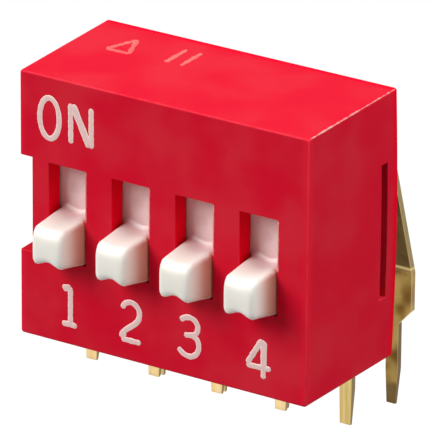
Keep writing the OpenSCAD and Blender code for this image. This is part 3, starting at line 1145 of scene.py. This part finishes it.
@dataclass
class ResinCollars:
    """Meniscus of resin round each lead where it leaves the back.

    The numbers of a row are the width, the thickness and the height of its collars.
    """

    finish: Material
    back: float = 5.28
    upper: Place = (1.5, 0.25, 8.685)
    lower: Place = (0.5, 0.25, 1.065)
    radius: float = 0.11
    step: float = 0.06

    def tree(self) -> Tree:
        """Builds the geometry nodes: a rounded rectangle of resin at every point.

        Returns:
            The geometry node group.
        """
        weaver, entry, leave = new_group(
            "resin_collar",
            [
                ("Geometry", GEOMETRY, None),
                ("Width", FLOAT, None),
                ("Thickness", FLOAT, None),
                ("Radius", FLOAT, self.radius * MM),
                ("Resin", MATERIAL, None),
            ],
            [("Geometry", GEOMETRY)],
            "GeometryNodeTree",
        )
        sides = {"Width": entry["Width"], "Height": entry["Thickness"]}
        frame = {"Geometry": weaver.first("GeometryNodeCurvePrimitiveQuadrilateral", sides)}
        frame["Rotation"] = (math.pi / 2, 0.0, 0.0)
        fine = {"Curve": weaver.first("GeometryNodeTransform", frame), "Length": self.step * MM}
        tube = {"Curve": weaver.first("GeometryNodeResampleCurve", fine, mode="LENGTH")}
        bulge = {"Resolution": 12, "Radius": entry["Radius"]}
        tube["Profile Curve"] = weaver.first("GeometryNodeCurvePrimitiveCircle", bulge)
        placed = {"Points": entry["Geometry"]}
        placed["Instance"] = weaver.first("GeometryNodeCurveToMesh", tube)
        placed = weaver.first("GeometryNodeInstanceOnPoints", placed)
        weaver.feed(leave["Geometry"], real_shape(weaver, placed, entry["Resin"]))
        return weaver.tree

    def build(self) -> None:
        """Makes one piece of four collars for each row of leads."""
        tree = self.tree()
        for row, (width, thick, z) in ((Lead.UPPER, self.upper), (Lead.LOWER, self.lower)):
            name = f"{row.value}_collars"
            mesh = bpy.data.meshes.new(name + "_points")
            points = [(middle_of(k) * MM, self.back * MM, z * MM) for k in POSITIONS]
            mesh.from_pydata(points, [], [])
            values = {"Width": width * MM, "Thickness": thick * MM, "Resin": self.finish}
            piece = grow(put(name + "_points", mesh), tree, name, values)


# ---- the switch itself


@dataclass
class Assembly:
    """Some of the switch's pieces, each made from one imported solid."""

    frame: dict
    finishes: FinishSet

    def dress(self, node: str, name: str, finish: Material, slot: Slot, **more: object) -> None:
        """Dresses one solid, with any more fields of DressedSolid."""
        DressedSolid(self.frame, node, name, finish, slot, **more).build()


class Housing(Assembly):
    """Cover, base and resin: everything that stays still round the sliders."""

    EDGE = 0.03

    def build(self) -> None:
        """Dresses the three moulded and poured solids."""
        looks = self.finishes
        self.dress("cover", "cover_shell", looks.cover, Slot.COVER, bevel=self.EDGE)
        self.dress("base", "terminal_base", looks.base, Slot.BASE)
        self.dress("seal", "resin_seal", looks.seal, Slot.SEAL)


class SliderBank(Assembly):
    """The four white sliders, each with its moving contact."""

    def build(self) -> None:
        """Dresses each slider and contact on its own moving body."""
        looks = self.finishes
        for k in POSITIONS:
            own = {"body": f"position_{k}", "flat_angle": 0.0}
            self.dress(f"slider_{k}", f"slider_knob_{k}", looks.slider, Slot.SLIDER, **own)
            own = {"body": f"position_{k}"}
            self.dress(f"contact_{k}", f"moving_contact_{k}", looks.contact, Slot.CONTACT, **own)


class LeadRows(Assembly):
    """The three rows of flat leads."""

    EDGE = 0.022

    def build(self) -> None:
        """Dresses every lead with softened sheared edges."""
        for row, finish in self.finishes.leads.items():
            for k in POSITIONS:
                node, name = f"{row.value}_{k}", f"{row.value}_plated_{k}"
                self.dress(node, name, finish, Slot.LEAD, bevel=self.EDGE)


# ---- the studio


def outward(azimuth: float, elevation: float) -> Vector:
    """Direction from the switch.

    Args:
        azimuth: Degrees to the right of the front face's middle line.
        elevation: Degrees above the board.

    Returns:
        The unit vector.
    """
    a, e = math.radians(azimuth), math.radians(elevation)
    return Vector((math.sin(a) * math.cos(e), -math.cos(a) * math.cos(e), math.sin(e)))


@dataclass(frozen=True)
class SoftBox:
    """A square lamp that points at the switch.

    Its level is how bright a white surface gets that faces it.
    """

    name: str
    azimuth: float
    elevation: float
    level: float
    size: float
    distance: float = 260.0
    aim: Place = (0.0, 2.0, 5.0)

    def build(self) -> None:
        """Makes the lamp and turns it to its aim."""
        lamp = bpy.data.lights.new(self.name, "AREA")
        lamp.size = self.size * MM
        lamp.energy = self.level * (math.pi * self.distance * MM) ** 2
        made = put(self.name, lamp)
        back = outward(self.azimuth, self.elevation)
        made.location = (Vector(self.aim) + back * self.distance) * MM
        made.rotation_mode = "QUATERNION"
        made.rotation_quaternion = (-back).to_track_quat("-Z", "Y")


@dataclass
class Studio:
    """Camera, floor, lamps and world."""

    azimuth: float = 32.446
    elevation: float = 22.682
    roll: float = 0.454
    distance: float = 215.281
    aim: Place = (2.196, 0.0, 5.965)
    focal: float = 526.47
    sensor: float = 36.0
    clip: Point = (5.0, 20000.0)
    floor_half: float = 120.0
    floor_drop: float = -22.0
    sky: float = 0.2
    floor_grey: float = 0.3
    lamps: tuple[SoftBox, ...] = (
        SoftBox("front_left_softbox", -35.0, 35.0, 0.87, 130.0),
        SoftBox("rear_right_softbox", 104.0, 57.0, 0.99, 150.0),
    )

    def build(self) -> None:
        """Builds the whole studio."""
        self._camera()
        self._floor()
        self._world()
        for lamp in self.lamps:
            lamp.build()
        bpy.context.scene.view_settings.view_transform = "Standard"

    def _camera(self) -> None:
        """Makes the camera at the view's angle, distance and roll."""
        a, r = math.radians(self.azimuth), math.radians(self.roll)
        back = outward(self.azimuth, self.elevation)
        right = Vector((math.cos(a), math.sin(a), 0.0))
        up = back.cross(right)
        side = right * math.cos(r) + up * math.sin(r)
        top = up * math.cos(r) - right * math.sin(r)
        lens = bpy.data.cameras.new("view_camera")
        lens.sensor_width = self.sensor
        lens.lens = self.focal
        lens.clip_start, lens.clip_end = (end * MM for end in self.clip)
        made = put("view_camera", lens)
        made.rotation_mode = "QUATERNION"
        made.rotation_quaternion = Matrix((side, top, back)).transposed().to_quaternion()
        made.location = (Vector(self.aim) + back * self.distance) * MM
        bpy.context.scene.camera = made

    def _floor(self) -> None:
        """Lays a pale floor as wide as the lamps light it white, clear from below."""
        mesh = bpy.data.meshes.new("floor")
        half, z = self.floor_half * MM, self.floor_drop * MM
        corners = [(-half, -half, z), (half, -half, z), (half, half, z), (-half, half, z)]
        mesh.from_pydata(corners, [], [(0, 1, 2, 3)])
        floor = put("floor", mesh)
        material = bpy.data.materials.new("pale_floor")
        weaver = empty_tree(material)
        lit = weaver.first("ShaderNodeBsdfDiffuse", {"Color": (self.floor_grey,) * 3})
        seen = weaver.times(self._seen(weaver), 1.0 - self.floor_grey)
        glow = weaver.first("ShaderNodeEmission", {"Color": WHITE, "Strength": seen})
        both = weaver.first("ShaderNodeAddShader", {0: lit, 1: glow})
        below = weaver.node("ShaderNodeNewGeometry").outputs["Backfacing"]
        clear = weaver.first("ShaderNodeBsdfTransparent")
        shown = weaver.first("ShaderNodeMixShader", {0: below, 1: both, 2: clear})
        weaver.node("ShaderNodeOutputMaterial", {"Surface": shown})
        mesh.materials.append(material)

    @staticmethod
    def _seen(weaver: NodeWeaver) -> Socket:
        """Adds a mask of the rays that show the background: camera, mirror and glass rays.

        Args:
            weaver: The weaver on the background's tree.

        Returns:
            The socket with 1 for those rays and 0 for the others.
        """
        kinds = ("Is Camera Ray", "Is Glossy Ray", "Is Transmission Ray")
        ray = weaver.node("ShaderNodeLightPath").outputs
        return weaver.most(*(ray[kind] for kind in kinds))

    def _world(self) -> None:
        """Makes a white world that shows white and lights at its own level."""
        world = bpy.data.worlds.new("white_studio")
        bpy.context.scene.world = world
        weaver = empty_tree(world)
        levels = {"Value": self._seen(weaver), "To Min": self.sky, "To Max": 1.0}
        strength = weaver.first("ShaderNodeMapRange", levels)
        glow = weaver.first("ShaderNodeBackground", {"Color": WHITE, "Strength": strength})
        weaver.node("ShaderNodeOutputWorld", {"Surface": glow})


def main() -> None:
    """Loads the solids, dresses them, and sets up the studio."""
    logging.basicConfig(level=logging.INFO, format="%(name)s: %(message)s")
    for thing in list(bpy.data.objects):
        bpy.data.objects.remove(thing)
    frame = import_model()
    studio = Studio()
    studio.build()
    finishes = FinishSet()
    Housing(frame, finishes).build()
    SliderBank(frame, finishes).build()
    LeadRows(frame, finishes).build()
    sweep = BeadSweep()
    FrontLegends(sweep, finishes.ink).build()
    CoverMarks(sweep, finishes).build()
    ResinCollars(finishes.seal).build()


if __name__ == "__main__":
    main()
